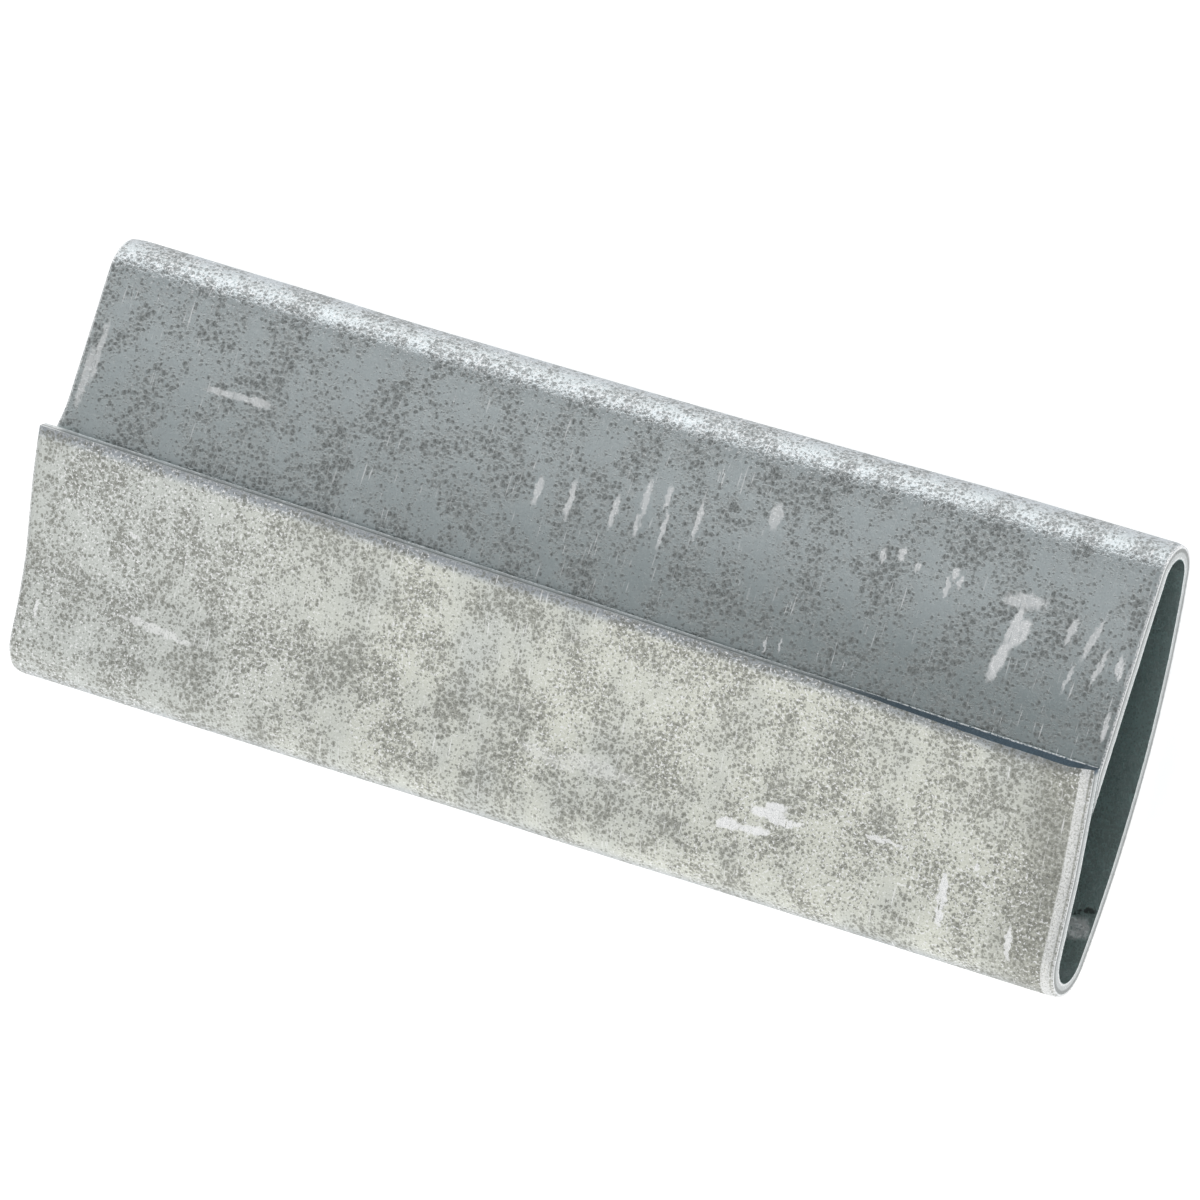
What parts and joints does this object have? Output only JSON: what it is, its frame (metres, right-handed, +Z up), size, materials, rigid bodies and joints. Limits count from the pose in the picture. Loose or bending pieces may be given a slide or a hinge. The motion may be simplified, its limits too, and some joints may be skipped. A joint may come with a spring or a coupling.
{
  "type": "steel strapping overlap seal",
  "caption": "Flat sleeve of zinc-coated sheet steel, open at both ends with a lapped seam, that closes over two overlapping ends of flat strapping.",
  "frame": {"origin": "under the middle of the bowed back, on the surface that the seal lies on", "axes": "+X along the strap passage, +Y across it towards the inner flap's fold, +Z up from the back to the lap"},
  "size_m": [0.0572, 0.0222, 0.0072],
  "materials": {
    "zinc_coated_steel": "weathered zinc coating, fine dark speckle, light scratches"
  },
  "bodies": {
    "root": {"seal_sleeve": "zinc_coated_steel"}
  },
  "joints": []
}
